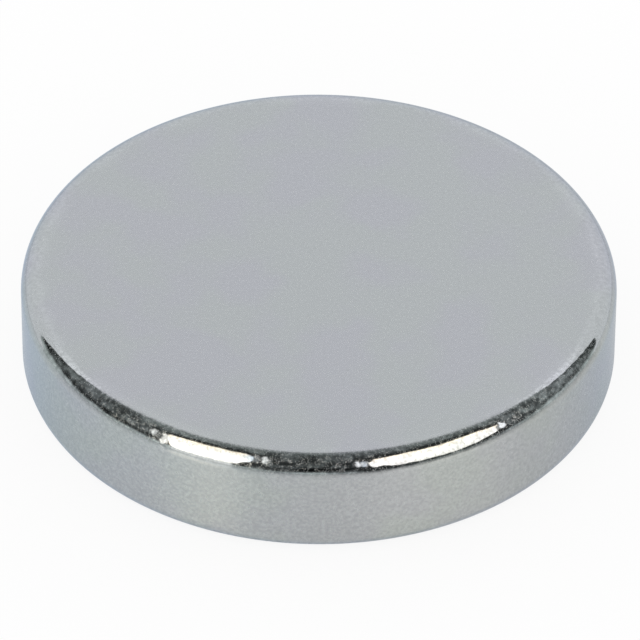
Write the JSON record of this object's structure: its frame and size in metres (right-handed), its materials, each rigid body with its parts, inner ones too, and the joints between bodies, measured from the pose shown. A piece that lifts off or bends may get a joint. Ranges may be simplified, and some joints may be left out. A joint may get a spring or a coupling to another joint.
{
  "type": "disc magnet",
  "caption": "Flat round magnet with rounded edges and bright nickel plating, for steel surfaces or a round pocket.",
  "frame": {"origin": "centre of the lower flat face", "axes": "+Z along the disc's axis, from the lower face to the upper face; X and Y lie in the lower face"},
  "size_m": [0.016, 0.016, 0.003],
  "materials": {
    "nickel_plating": "bright nickel plating over a ground and tumbled blank: even and softly reflecting on the faces, mirror-like along the rounded edges"
  },
  "bodies": {
    "root": {"disc": "nickel_plating"}
  },
  "joints": []
}
